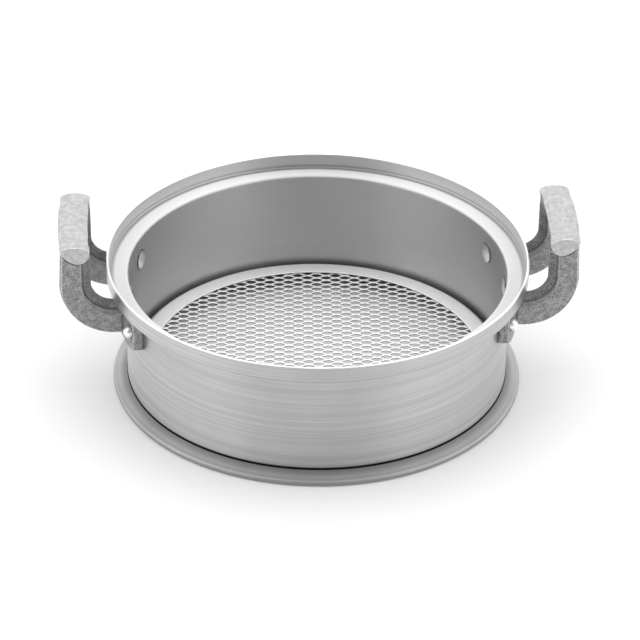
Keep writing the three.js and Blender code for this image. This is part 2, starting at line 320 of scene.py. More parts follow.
def skin(name, rings):
    """Closed tube through rings of points (rows, around, 3), its two ends flat faces."""
    rows, around = rings.shape[:2]
    i, j = (index.ravel() for index in np.meshgrid(np.arange(rows - 1), np.arange(around), indexing="ij"))
    next_j = (j + 1) % around
    here = i * around
    above = here + around
    sides = np.column_stack((here + j, here + next_j, above + next_j, above + j))
    last = (rows - 1) * around
    ends = [list(range(around))[::-1], list(range(last, last + around))]
    mesh = bpy.data.meshes.new(name)
    mesh.from_pydata(rings.reshape(-1, 3).tolist(), [], sides.tolist() + ends)
    mesh.update()
    return facing_out(mesh)


def corners_of(mesh):
    """Corner positions of a mesh's triangles, as an array (triangles, 3, 3)."""
    mesh.calc_loop_triangles()
    places = places_of(mesh)
    corners = np.empty(len(mesh.loop_triangles) * 3, np.int32)
    mesh.loop_triangles.foreach_get("vertices", corners)
    return places[corners.reshape(-1, 3)]


def places_of(mesh):
    """Vertex positions of a mesh, as an array (n, 3)."""
    places = np.empty(len(mesh.vertices) * 3, np.float32)
    mesh.vertices.foreach_get("co", places)
    return places.reshape(-1, 3).astype(float)


def facing_out(mesh):
    """Turns a closed mesh so that the volume under its faces, the sum of a . (b x c) / 6, is positive."""
    a, b, c = corners_of(mesh).transpose(1, 0, 2)
    if np.sum(a * np.cross(b, c)) < 0:
        mesh.flip_normals()
    return mesh


def joined(name, meshes):
    """One mesh that holds all of these."""
    together = bmesh.new()
    for mesh in meshes:
        together.from_mesh(mesh)
        bpy.data.meshes.remove(mesh)
    result = bpy.data.meshes.new(name)
    together.to_mesh(result)
    together.free()
    return result


def welded(mesh, distance):
    """Merges the points that lie within a distance of each other."""
    work = bmesh.new()
    work.from_mesh(mesh)
    bmesh.ops.remove_doubles(work, verts=work.verts, dist=distance)
    work.to_mesh(mesh)
    work.free()
    return mesh


def placed(name, mesh):
    """Object at the origin that shows a mesh."""
    piece = bpy.data.objects.new(name, mesh)
    bpy.context.scene.collection.objects.link(piece)
    return piece


def applied(piece):
    """Makes a piece's modifiers part of its mesh."""
    bpy.context.view_layer.update()
    evaluated = piece.evaluated_get(bpy.context.evaluated_depsgraph_get())
    piece.data = bpy.data.meshes.new_from_object(evaluated)
    piece.modifiers.clear()
    return piece


def combine(piece, operation, tool):
    """Cuts, joins or trims a piece with a closed mesh."""
    other = placed("tool", tool)
    modifier = piece.modifiers.new(operation.title(), "BOOLEAN")
    modifier.operation = operation
    modifier.solver = "MANIFOLD"
    modifier.object = other
    applied(piece)
    bpy.data.objects.remove(other)
    return piece


def finished(piece, node, material, sharp_angle=math.radians(35)):
    """Smooth shading, material and frame calls that every piece shares."""
    piece.data.shade_smooth()
    piece.data.set_sharp_from_angle(angle=sharp_angle)
    piece.data.materials.clear()
    piece.data.materials.append(material)
    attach(piece, "root")
    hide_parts(node)
    return piece


def radial_bar(radius, inner, outer, angle, height, steps):
    """Cylinder that points away from the Z axis at an angle and a height."""
    section = np.array(((0, inner), (radius, inner), (radius, outer), (0, outer)))
    return pointed_out(turned("bar", section, steps), angle, height)


def pointed_out(mesh, angle, height):
    """Turns a mesh made about Z so that it points away from the axis at an angle, at a height."""
    lying = Matrix.Rotation(RIGHT_ANGLE, 4, "Y")
    mesh.transform(Matrix.Translation((0, 0, height)) @ Matrix.Rotation(angle, 4, "Z") @ lying)
    return welded(mesh, WELD)


def round_bar(name, radius, low, high, steps):
    """Cylinder about the Z axis between two heights."""
    section = np.array(((0, low), (radius, low), (radius, high), (0, high)))
    return welded(turned(name, section, steps), WELD)


def wall_inner_radius(shell):
    """Inner face of the straight wall."""
    return shell.lip_radius - shell.sheet - shell.step_width


def wall_outer_radius(shell):
    """Outer face of the straight wall."""
    return wall_inner_radius(shell) + shell.sheet


def plate_centre_height(shell, handle):
    """Height of the wall plates' middle, and so of the rivets."""
    return shell.rim_height - shell.step_depth - handle.plate_drop


def plate_back_radius(shell, ring):
    """Back of the wall plates, a clearance off the wall."""
    return wall_outer_radius(shell) + ring.clearance


def plate_face_radius(shell, ring, handle):
    """Outer face of the wall plates."""
    return plate_back_radius(shell, ring) + handle.plate_thickness


def rivet_angles(face_radius, rivet):
    """Directions of a handle's three rivets, by the name of their place."""
    spread = math.asin((HANDLE_HIGH.y - rivet.end_margin) / face_radius)
    return {"front": -spread, "middle": 0.0, "rear": spread}


def shell_section(shell, fillet_steps=10, rim_steps=12, wall_steps=8):
    """Section of the spun body: inner face from the rim down, outer face back up, half-round rim."""
    lip_inner = shell.lip_radius - shell.sheet
    wall_inner = wall_inner_radius(shell)
    step = shell.rim_height - shell.step_depth
    rim = (lip_inner + shell.sheet / 2, shell.rim_height - shell.sheet / 2)
    lip_centre = (lip_inner - shell.lip_fillet, step + shell.lip_fillet)
    step_centre = (wall_inner + shell.step_fillet, step - shell.step_fillet)
    wall = np.linspace(step_centre[1], shell.foot_height, wall_steps + 1)[1:]
    path = np.vstack((
        (lip_inner, rim[1]),
        arc(lip_centre, shell.lip_fillet, 0, -RIGHT_ANGLE, fillet_steps),
        arc(step_centre, shell.step_fillet, RIGHT_ANGLE, math.pi, fillet_steps),
        np.column_stack((np.full(wall_steps, wall_inner), wall)),
    ))
    round_rim = arc(rim, shell.sheet / 2, 0, math.pi, rim_steps)[1:-1]
    return np.vstack((sheet_section(path, shell.sheet), round_rim))


def curve(start, first, second, end, steps):
    """Cubic curve: (1 - t)^3 start + 3 t (1 - t)^2 first + 3 t^2 (1 - t) second + t^3 end."""
    t = np.linspace(0, 1, steps + 1)[:, None]
    points = [np.array(point) for point in (start, first, second, end)]
    weights = ((1 - t) ** 3, 3 * t * (1 - t) ** 2, 3 * t**2 * (1 - t), t**3)
    return sum(weight * point for weight, point in zip(weights, points))


def ledge_inner_radius(shell, ring):
    """Cut edge of the ledge, round the mesh."""
    return wall_inner_radius(shell) - ring.clearance - ring.ledge_width


def ring_section(ring, shell, fine=12):
    """Section of the base ring, and the outer path that it follows.

    The path runs from the foot flat over the rolled bead and the flare to the leg, shoulder and ledge.
    """
    leg = wall_inner_radius(shell) - ring.clearance
    bead_centre = (ring.flange_radius - ring.bead_radius, ring.bead_radius)
    bead = arc(bead_centre, ring.bead_radius, -RIGHT_ANGLE, ring.bead_end, 2 * fine)
    slope = np.array((-math.sin(ring.bead_end), math.cos(ring.bead_end)))
    flare_end = (leg, shell.foot_height)
    near_bead = bead[-1] + ring.flare_dip * slope
    near_leg = (leg, shell.foot_height - ring.flare_rise)
    flare = curve(bead[-1], near_bead, near_leg, flare_end, 2 * fine)
    shoulder = (leg - ring.shoulder, ring.ledge_height - ring.shoulder)
    half = ring.sheet / 2
    edge = (ledge_inner_radius(shell, ring) + half, ring.ledge_height - half)
    path = np.vstack((
        (bead_centre[0] - ring.foot_flat, 0),
        bead,
        flare[1:],
        arc(shoulder, ring.shoulder, 0, RIGHT_ANGLE, fine),
        (edge[0], ring.ledge_height),
    ))
    rounded = arc(edge, half, RIGHT_ANGLE, 3 * RIGHT_ANGLE, fine // 2)[1:-1]
    section = sheet_section(path, ring.sheet)
    return np.insert(section, len(path), rounded, axis=0), path


def net_centres(net, reach):
    """Which cells of the staggered grid lie within reach, and where: (kept, x, y, odd) over (column, row).

    Columns stand half a long pitch apart, and every other column is set half a short pitch up.
    """
    columns = math.ceil(reach / (net.pitch_long / 2)) + 2
    rows = math.ceil(reach / net.pitch_short) + 2
    i, j = np.meshgrid(np.arange(-columns, columns + 1), np.arange(-rows, rows + 1), indexing="ij")
    x = i * net.pitch_long / 2
    y = (j + (i % 2) / 2) * net.pitch_short
    kept = np.hypot(x + net.shift_long, y + net.shift_short) < reach
    return kept, x, y, i % 2


def net_cell(net):
    """One opening's cell as five rings of 12 points (5, 12, 3), from its top border to its bottom border.

    The border is the hexagon of points nearer this opening than any other, with each side halved. The hole
    is the lens y = w (1 - |x / l|^2.1). Its far edge lies low and its near edge high, by the tilt.
    """
    half_x = net.pitch_long / 2
    half_y = net.pitch_short / 2
    tip = (half_x**2 + half_y**2) / (2 * half_x)
    crown = tip - half_y**2 / half_x
    hexagon = np.array((
        (tip, 0), (crown, half_y), (-crown, half_y), (-tip, 0), (-crown, -half_y), (crown, -half_y),
    ))
    middles = (hexagon + np.roll(hexagon, -1, axis=0)) / 2
    border = np.stack((hexagon, middles), axis=1).reshape(-1, 2)
    along_shares = np.array((1, 0.76, 0.43, 0, -0.43, -0.76, -1, -0.76, -0.43, 0, 0.43, 0.76))
    up = np.array((0, 1, 1, 1, 1, 1, 0, -1, -1, -1, -1, -1))
    lens = up * (1 - np.abs(along_shares) ** 2.1)
    hole = np.column_stack((along_shares * net.hole_long / 2, lens * net.hole_short / 2))
    lift = -net.tilt * lens
    half = net.sheet / 2
    shoulder = border + 0.72 * (hole - border)
    flat = np.zeros(len(border))
    rings = (
        (border, flat + half),
        (shoulder, 0.72 * lift + half),
        (hole, lift + 0.6 * half),
        (hole, lift - half),
        (border, flat - half),
    )
    return np.stack([np.column_stack((xy, z)) for xy, z in rings])


def net_mesh(net, height, reach):
    """Expanded sheet: the cell repeated over the staggered grid, its outer border closed by walls."""
    kept, x, y, odd = net_centres(net, reach)
    cell = net_cell(net)
    centres = np.column_stack((x[kept], y[kept], np.zeros(kept.sum())))
    points = centres[:, None, None, :] + cell
    rings, around = cell.shape[:2]
    start = np.arange(len(centres))[:, None, None] * rings * around
    k, j = np.meshgrid(np.arange(rings - 1), np.arange(around), indexing="ij")
    next_j = (j + 1) % around
    here = k * around
    below = here + around
    band = np.stack((here + j, here + next_j, below + next_j, below + j), axis=-1)
    faces = (start[..., None] + band).reshape(-1, 4)

    column, row = np.nonzero(kept)
    up = odd[kept]
    neighbours = ((1, up), (0, 1), (-1, up), (-1, up - 1), (0, -1), (1, up - 1))
    walls = []
    bottom = (rings - 1) * around
    for side, (across, along) in enumerate(neighbours):
        bare = ~kept[column + across, row + along]
        base = np.flatnonzero(bare) * rings * around
        for first in (2 * side, 2 * side + 1):
            second = (first + 1) % around
            corners = (first, bottom + first, bottom + second, second)
            walls.append(np.column_stack([base + corner for corner in corners]))
    mesh = mesh_of("net", points.reshape(-1, 3), np.vstack((faces, *walls)))
    shift = Matrix.Translation((net.shift_long, net.shift_short, height))
    mesh.transform(shift @ Matrix.Rotation(net.turn, 4, "Z"))
    return welded(mesh, 1e-6)


def border_section(shell, ring, cover=0.002):
    """Section of the mesh's plain border, which starts a cover's width outside the ledge's edge."""
    inner = ledge_inner_radius(shell, ring) + cover
    outer = NET_HIGH.x
    return np.array(((inner, NET_LOW.z), (outer, NET_LOW.z), (outer, NET_HIGH.z), (inner, NET_HIGH.z)))


def shaded_side_faces(mesh):
    """Marks where shade is painted: the cut walls of the openings with 1, the sheet's back with 0.75 and its
    face with 0.
    """
    normals = np.empty(len(mesh.polygons) * 3, np.float32)
    mesh.polygons.foreach_get("normal", normals)
    up = normals[2::3]
    upright = 1 - smooth_step(np.abs(up), 0.3, 0.8)
    attribute = mesh.attributes.new(SHADED_SIDE_SHARE, "FLOAT", "FACE")
    attribute.data.foreach_set("value", np.where(up < -0.8, 0.75, upright).astype(np.float32))


def grip_rings(handle, end_x, edge_height, stations=40, around=26):
    """Rings of the grip along Y.

    The middle bows out by bow (1 - (2 y / length)^2). The top rises by crown (1 - |u|^2.3) over the edge,
    and the belly drops by depth s^0.5 (1 - s)^0.8 over its peak, with u from -1 to 1 and s = (1 + u) / 2.
    """
    y = np.linspace(1, -1, stations + 1) * handle.grip_length / 2
    middle = end_x + handle.grip_bow * (1 - (2 * y / handle.grip_length) ** 2)
    u_top = np.cos(np.linspace(0, math.pi, around + 1))
    rise = handle.grip_crown * (1 - np.abs(u_top) ** 2.3)
    u_belly = -np.cos(np.linspace(0, math.pi, around + 1))[1:-1]
    s = (1 + u_belly) / 2
    peak = 0.5 / 1.3
    fall = s**0.5 * (1 - s) ** 0.8 / (peak**0.5 * (1 - peak) ** 0.8)
    u = np.concatenate((u_top, u_belly))
    z = edge_height + np.concatenate((rise, -handle.grip_belly * fall))
    x = middle[:, None] + u * handle.grip_width / 2
    return np.stack((x, np.broadcast_to(y[:, None], x.shape), np.broadcast_to(z, x.shape)), axis=-1)


def leg_rings(handle, start_x, bend_x, bend_height, end_x, top, y, swell, steps=24):
    """Rings of a leg: a straight root, a quarter bend, then up to the grip.

    A ridge with a groove at each foot runs inside the bend. That side swells by swell cos(turn) at the root.
    """
    radius = handle.bend_inner + handle.leg_width / 2
    turn = np.linspace(0, RIGHT_ANGLE, steps + 1)
    x = np.concatenate(((start_x,), bend_x + radius * np.sin(turn), (end_x,)))
    z = np.concatenate(((bend_height - radius,), bend_height - radius * np.cos(turn), (top,)))
    direction = np.concatenate(((0,), turn, (RIGHT_ANGLE,)))[:, None]
    width = np.full(len(x), handle.leg_width)
    width[-1] = handle.grip_width * LEG_TOP_SHARE
    out = LEG_SHARES[:, 0] * width[:, None] / 2
    out = out - np.where(LEG_SHARES[:, 0] < 0, swell * np.cos(direction), 0)
    side = np.broadcast_to(y + LEG_SHARES[:, 1] * handle.leg_thickness / 2, out.shape)
    x = x[:, None] + out * np.sin(direction)
    z = z[:, None] - out * np.cos(direction)
    return np.stack((x, side, z), axis=-1)


def plate_rings(handle, wall, face, centre, slices=32, around=40):
    """Slices of the wall plate: face and back are arcs about Z, the ends are square, the corners round.

    The back runs on into the wall, which is cut out later, and stands off it by a chamfer at both ends.
    """
    half_height = handle.plate_height / 2
    corner = handle.plate_corner
    z = -half_height * np.cos(np.linspace(0, math.pi, slices + 1))
    past = np.clip(np.abs(z) - (half_height - corner), 0, corner)
    half_length = HANDLE_HIGH.y - corner + np.sqrt(corner**2 - past**2)
    across = np.linspace(-1, 1, around + 1)
    y = half_length[:, None] * np.concatenate((across, across[::-1]))
    back = np.full(around + 1, wall - OVERRUN)
    back[[0, -1]] = wall + handle.plate_relief
    radius = np.concatenate((np.full(around + 1, face), back))
    x = np.sqrt(radius**2 - y**2)
    return np.stack((x, y, np.broadcast_to(centre + z[:, None], x.shape)), axis=-1)


def neighbour_mean(values, edges, count):
    """For each point, the mean of a value over the points that its edges lead to."""
    first, second = edges.T
    total = np.stack([
        np.bincount(first, axis[second], len(count)) + np.bincount(second, axis[first], len(count))
        for axis in values.T
    ], axis=1)
    return total / count[:, None]


def edges_of(mesh):
    """The edges of a mesh (m, 2) and how many edges meet in each point, at least 1."""
    edges = np.empty(len(mesh.edges) * 2, np.int32)
    mesh.edges.foreach_get("vertices", edges)
    count = np.bincount(edges, minlength=len(mesh.vertices))
    return edges.reshape(-1, 2), np.maximum(count, 1)


def relax(mesh, weight, rounds):
    """Moves each point towards the mean of its neighbours by its own weight, a number of rounds."""
    edges, count = edges_of(mesh)
    places = places_of(mesh)
    for _ in range(rounds):
        places += weight[:, None] * (neighbour_mean(places, edges, count) - places)
    mesh.vertices.foreach_set("co", places.astype(np.float32).ravel())
    mesh.update()


def smooth_step(value, low, high):
    """0 below low, 1 above high, and t^2 (3 - 2 t) between."""
    t = np.clip((value - low) / (high - low), 0, 1)
    return t * t * (3 - 2 * t)


def set_share(mesh, name, values):
    """Stores a value for each point, for materials to read."""
    attribute = mesh.attributes.new(name, "FLOAT", "POINT")
    attribute.data.foreach_set("value", values.astype(np.float32))


def convexity(mesh, rounds):
    """How far each point stands out of its neighbours: the mean of -n . d over its edges' directions d.

    The result is averaged with the neighbours' a number of rounds, which widens edges and hollows.
    """
    edges, count = edges_of(mesh)
    places = places_of(mesh)
    normals = np.empty(len(mesh.vertices) * 3, np.float32)
    mesh.vertex_normals.foreach_get("vector", normals)
    normals = normals.reshape(-1, 3)
    first, second = edges.T
    along = places[second] - places[first]
    along /= np.maximum(np.linalg.norm(along, axis=1, keepdims=True), 1e-9)
    bend = np.bincount(first, -np.sum(normals[first] * along, axis=1), len(count))
    bend += np.bincount(second, np.sum(normals[second] * along, axis=1), len(count))
    bend = (bend / count)[:, None]
    for _ in range(rounds):
        bend = (bend + neighbour_mean(bend, edges, count)) / 2
    return bend[:, 0]


def casting(shell, ring, handle, rivet):
    """The right handle: plate, legs and grip flow into one skin, then the wall, holes and spots are cut."""
    back = plate_back_radius(shell, ring)
    face = plate_face_radius(shell, ring, handle)
    centre = plate_centre_height(shell, handle)
    edge_height = HANDLE_HIGH.z - handle.grip_crown
    radius = handle.bend_inner + handle.leg_width / 2
    bend_x = face + handle.leg_root
    bend_height = centre + handle.leg_rise + radius
    end_x = bend_x + radius - handle.grip_set_in
    offset = handle.grip_length / 2 - handle.leg_set_back - handle.leg_thickness / 2
    start_x = math.sqrt(face**2 - offset**2) - handle.plate_thickness / 2
    swell = handle.plate_drop - shell.sheet - handle.leg_top_gap - handle.leg_rise - handle.leg_width / 2
    leg_top = edge_height - 0.0004

    meshes = [skin("plate", plate_rings(handle, back, face, centre))]
    meshes.append(skin("grip", grip_rings(handle, end_x, edge_height)))
    for y in (-offset, offset):
        rings = leg_rings(handle, start_x, bend_x, bend_height, end_x, leg_top, y, swell)
        meshes.append(skin("leg", rings))
    piece = placed("casting", joined("casting", meshes))
    remesh = piece.modifiers.new("Skin", "REMESH")
    remesh.mode = "VOXEL"
    remesh.voxel_size = handle.grain
    applied(piece)

    x, y, z = places_of(piece.data).T
    by_leg = np.abs(np.abs(y) - offset) < handle.leg_thickness / 2 + 0.004
    at_plate = by_leg & (np.abs(np.hypot(x, y) - face) < 0.004)
    at_grip = (np.abs(y) < offset) & (np.abs(y) > offset - handle.leg_thickness / 2 - 0.006)
    at_grip &= np.abs(z - (edge_height - handle.grip_belly * 0.7)) < 0.008
    relax(piece.data, np.where(at_plate | at_grip, 0.5, 0.0), 40)
    relax(piece.data, np.full(len(x), 0.4), 2)

    combine(piece, "DIFFERENCE", round_bar("wall", back, 0.0, shell.rim_height, shell.steps))
    cuts = (
        (rivet.shank_radius + HOLE_GAP, back - OVERRUN),
        (rivet.dome_radius + rivet.spot_margin, face - rivet.spot_depth),
    )
    for direction in rivet_angles(face, rivet).values():
        for cut_radius, floor in cuts:
            bar = radial_bar(cut_radius, floor, face + OVERRUN, direction, centre, rivet.steps)
            combine(piece, "DIFFERENCE", bar)
    mesh = piece.data
    bpy.data.objects.remove(piece)

    x, y, z = places_of(mesh).T
    on_top = smooth_step(z, edge_height - 0.0006, edge_height + 0.0002)
    at_end = smooth_step(np.abs(y), handle.grip_length / 2 - 0.0008, handle.grip_length / 2 - 0.0002)
    at_end *= smooth_step(z, edge_height - handle.grip_belly - 0.001, edge_height - handle.grip_belly)
    set_share(mesh, GROUND_SHARE, np.maximum(on_top, at_end))
    set_share(mesh, WORN_SHARE, smooth_step(convexity(mesh, 2), 0.03, 0.14))
    # Painted shade: the hollows, and the inside of each leg's bend below the grip, are marked here to be
    # darkened in the colour.
    hollow = smooth_step(-convexity(mesh, 16), 0.008, 0.035)
    distance = np.where(z > bend_height, x - bend_x, np.hypot(x - bend_x, z - bend_height))
    groove = radius + handle.leg_width / 2 * LEG_GROOVE_SHARE
    bend_shade = 1 - smooth_step(distance, groove - 0.0006, groove + 0.0002)
    bend_shade *= (np.hypot(x, y) > face + 0.001) & (z < edge_height - handle.grip_belly)
    set_share(mesh, HOLLOW_SHADE_SHARE, np.maximum(hollow, 0.4 * bend_shade))
    return mesh


def rivet_section(shell, ring, handle, rivet):
    """Section of a rivet that points outwards along Z: inner head, shank, outer dome."""
    head_seat = math.sqrt(wall_inner_radius(shell) ** 2 - rivet.head_radius**2) - HOLE_GAP
    dome_seat = plate_face_radius(shell, ring, handle) - rivet.spot_depth + HOLE_GAP
    turn = np.linspace(0, RIGHT_ANGLE, RIVET_CURVE + 1)
    bulge = np.linspace(0, 1, RIVET_CURVE + 1)
    head = np.column_stack((
        rivet.head_radius * bulge,
        head_seat - rivet.head_edge - (rivet.head_rise - rivet.head_edge) * (1 - bulge**2.2),
    ))
    crown = rivet.dome_rise - rivet.dome_edge
    dome = np.column_stack((
        rivet.dome_radius * np.cos(turn) ** 0.85,
        dome_seat + rivet.dome_edge + crown * np.sin(turn),
    ))
    dome[-1, 0] = 0
    return np.vstack((
        head,
        (rivet.head_radius, head_seat),
        (rivet.shank_radius, head_seat),
        (rivet.shank_radius, dome_seat),
        (rivet.dome_radius, dome_seat),
        dome,
    ))


def add(tree, kind, values=None, **settings):
    """Adds a node with its settings; an input is linked where its value is a socket, and set otherwise."""
    node = tree.nodes.new(kind)
    for key, value in settings.items():
        setattr(node, key, value)
    for key, value in (values or {}).items():
        if isinstance(value, bpy.types.NodeSocket):
            tree.links.new(value, node.inputs[key])
        else:
            node.inputs[key].default_value = value
    return node


def calc(tree, operation, *values, clamp=False):
    """Math node; gives its output."""
    inputs = dict(enumerate(values))
    return add(tree, "ShaderNodeMath", inputs, operation=operation, use_clamp=clamp).outputs[0]


def vector_calc(tree, operation, *values):
    """Vector Math node; gives its vector output."""
    return add(tree, "ShaderNodeVectorMath", dict(enumerate(values)), operation=operation).outputs[0]


def spread(tree, value, low, high, to_low, to_high):
    """Map Range node, smooth between low and high."""
    values = {"Value": value, "From Min": low, "From Max": high, "To Min": to_low, "To Max": to_high}
    return add(tree, "ShaderNodeMapRange", values, interpolation_type="SMOOTHSTEP").outputs[0]


def mix_tones(tree, factor, dark, light):
    """Mix of two colours by a factor; the Mix node's colour inputs are 6 and 7, its colour output is 2."""
    return add(tree, "ShaderNodeMix", {0: factor, 6: dark, 7: light}, data_type="RGBA").outputs[2]


def mix_values(tree, factor, first, second):
    """Mix of two numbers by a factor."""
    return add(tree, "ShaderNodeMix", {0: factor, 2: first, 3: second}).outputs[0]


def stored_share(tree, name):
    """A value that is stored on a piece's mesh."""
    return add(tree, "ShaderNodeAttribute", attribute_name=name).outputs["Fac"]


def relief(tree, shader, height, strength, distance):
    """Links a height to a shader's normal through a bump."""
    bump = add(tree, "ShaderNodeBump", {"Height": height, "Strength": strength, "Distance": distance})
    tree.links.new(bump.outputs[0], shader.inputs["Normal"])


def new_group(name, inputs, outputs):
    """Shader node group with named inputs (name, type, default) and value outputs."""
    tree = bpy.data.node_groups.new(name, "ShaderNodeTree")
    for label, kind, default in inputs:
        socket = tree.interface.new_socket(label, in_out="INPUT", socket_type=kind)
        socket.default_value = default
    for label in outputs:
        tree.interface.new_socket(label, in_out="OUTPUT", socket_type="NodeSocketFloat")
    return tree, tree.nodes.new("NodeGroupInput").outputs, tree.nodes.new("NodeGroupOutput").inputs


def cloud(tree, place, scale, detail, roughness):
    """Noise between 0 and 1, read at a place."""
    values = {"Vector": place, "Scale": scale, "Detail": detail, "Roughness": roughness}
    return add(tree, "ShaderNodeTexNoise", values).outputs[0]


def turning_marks():
    """Lines that a spinning tool leaves: noise stretched round the turn, read from the UV map "turned".

    Spacing is the width of a line in metres, and Break is how often a line changes round the turn.
    """
    inputs = [("Spacing", "NodeSocketFloat", 0.0006), ("Break", "NodeSocketFloat", 2.0)]
    tree, given, result = new_group("turning_marks", inputs, ["Line"])
    uv = add(tree, "ShaderNodeUVMap", uv_map=TURNED_UV).outputs[0]
    split = add(tree, "ShaderNodeSeparateXYZ", {"Vector": uv}).outputs
    angle = calc(tree, "MULTIPLY", split["Y"], FULL_TURN)
    round_x = calc(tree, "MULTIPLY", calc(tree, "COSINE", angle), given["Break"])
    round_y = calc(tree, "MULTIPLY", calc(tree, "SINE", angle), given["Break"])
    across = calc(tree, "DIVIDE", split["X"], given["Spacing"])
    place = add(tree, "ShaderNodeCombineXYZ", {"X": round_x, "Y": round_y, "Z": across}).outputs[0]
    tree.links.new(cloud(tree, place, 1.0, 2.0, 0.6), result["Line"])
    return tree


def smudges():
    """Handling marks: soft cloudy tone between 0 and 1, its patches about Size metres wide."""
    tree, given, result = new_group("smudges", [("Size", "NodeSocketFloat", 0.03)], ["Tone"])
    place = add(tree, "ShaderNodeTexCoord").outputs["Object"]
    scale = calc(tree, "DIVIDE", 1.0, given["Size"])
    tree.links.new(spread(tree, cloud(tree, place, scale, 4.0, 0.55), 0.3, 0.7, 0.0, 1.0), result["Tone"])
    return tree


def ring_zone():
    """Share of a zone round the axis: 1 between two radii and two heights, fading over Soft at borders."""
    sizes = (("Inner", 0.0), ("Outer", 0.2), ("Low", 0.0), ("High", 0.1), ("Soft", 0.0004))
    inputs = [(name, "NodeSocketFloat", value) for name, value in sizes]
    tree, given, result = new_group("ring_zone", inputs, ["Share"])
    place = add(tree, "ShaderNodeTexCoord").outputs["Object"]
    x, y, z = add(tree, "ShaderNodeSeparateXYZ", {"Vector": place}).outputs
    squares = calc(tree, "ADD", calc(tree, "MULTIPLY", x, x), calc(tree, "MULTIPLY", y, y))
    radius = calc(tree, "SQRT", squares)
    covered = 1.0
    for value, low, high in ((radius, "Inner", "Outer"), (z, "Low", "High")):
        above_low = calc(tree, "SUBTRACT", value, given[low])
        below_high = calc(tree, "SUBTRACT", given[high], value)
        for distance in (above_low, below_high):
            part = calc(tree, "ADD", calc(tree, "DIVIDE", distance, given["Soft"]), 0.5, clamp=True)
            covered = calc(tree, "MULTIPLY", part, covered)
    tree.links.new(covered, result["Share"])
    return tree


def cast_skin():
    """Sand-cast skin: grains of Size metres with coarser pits. Height is for a bump, Tone for colour."""
    tree, given, result = new_group("cast_skin", [("Size", "NodeSocketFloat", 0.0009)], ["Height", "Tone"])
    place = add(tree, "ShaderNodeTexCoord").outputs["Object"]
    scale = calc(tree, "DIVIDE", 1.0, given["Size"])
    fine = cloud(tree, place, scale, 3.0, 0.7)
    coarse = cloud(tree, place, calc(tree, "MULTIPLY", scale, 0.22), 2.0, 0.5)
    height = calc(tree, "ADD", fine, calc(tree, "MULTIPLY", coarse, 0.8))
    tree.links.new(height, result["Height"])
    grains = spread(tree, fine, 0.32, 0.68, 0.0, 1.0)
    patches = spread(tree, coarse, 0.35, 0.65, 0.0, 1.0)
    tone = calc(tree, "ADD", calc(tree, "MULTIPLY", grains, 0.75), calc(tree, "MULTIPLY", patches, 0.25))
    tree.links.new(tone, result["Tone"])
    return tree


def effect(name, build):
    """A shared node group, built the first time that it is asked for."""
    return bpy.data.node_groups.get(name) or build()


def grouped(tree, name, build, values):
    """Places a shared effect in a material with the material's own values."""
    return add(tree, "ShaderNodeGroup", values, node_tree=effect(name, build)).outputs


def new_material(name):
    """Material with its node tree emptied down to a metal shader; gives the tree and the shader."""
    material = bpy.data.materials.new(name)
    material.use_nodes = True
    tree = material.node_tree
    shader = tree.nodes["Principled BSDF"]
    shader.inputs["Metallic"].default_value = 1.0
    return material, tree, shader


def toned(colour, factor):
    """A colour as (r, g, b, a), made lighter or darker by a factor and kept under 1."""
    return (*(min(channel * factor, 1.0) for channel in colour), 1.0)


def zone(tree, inner, outer, low, high, soft):
    """Share of a zone round the axis in one material."""
    values = {"Inner": inner, "Outer": outer, "Low": low, "High": high, "Soft": soft}
    return grouped(tree, "ring_zone", ring_zone, values)["Share"]


def distance_along(tree):
    """Distance along a turned section, from the UV map "turned"."""
    uv = add(tree, "ShaderNodeUVMap", uv_map=TURNED_UV).outputs[0]
    return add(tree, "ShaderNodeSeparateXYZ", {"Vector": uv}).outputs["X"]


def turning_lines(tree, contrast):
    """Fine and broad turning lines about 0.5, their swing scaled by a contrast."""
    fine = grouped(tree, "turning_marks", turning_marks, {"Spacing": 0.0007, "Break": 0.5})["Line"]
    broad = grouped(tree, "turning_marks", turning_marks, {"Spacing": 0.003, "Break": 0.35})["Line"]
    lines = calc(tree, "ADD", calc(tree, "MULTIPLY", fine, 0.6), calc(tree, "MULTIPLY", broad, 0.4))
    swing = calc(tree, "SUBTRACT", spread(tree, lines, 0.36, 0.64, 0.0, 1.0), 0.5)
    return calc(tree, "ADD", calc(tree, "MULTIPLY", swing, contrast), 0.5)


def lined_metal(tree, shader, lines, colour, rough, anisotropy):
    """Links a turned metal's colour, gloss, line relief and the direction in which highlights are drawn."""
    tree.links.new(colour, shader.inputs["Base Color"])
    tree.links.new(rough, shader.inputs["Roughness"])
    relief(tree, shader, lines, 0.4, 0.0001)
    shader.inputs["Anisotropic"].default_value = anisotropy
    tangent = add(tree, "ShaderNodeTangent", direction_type="UV_MAP", uv_map=TURNED_UV)
    tree.links.new(tangent.outputs[0], shader.inputs["Tangent"])


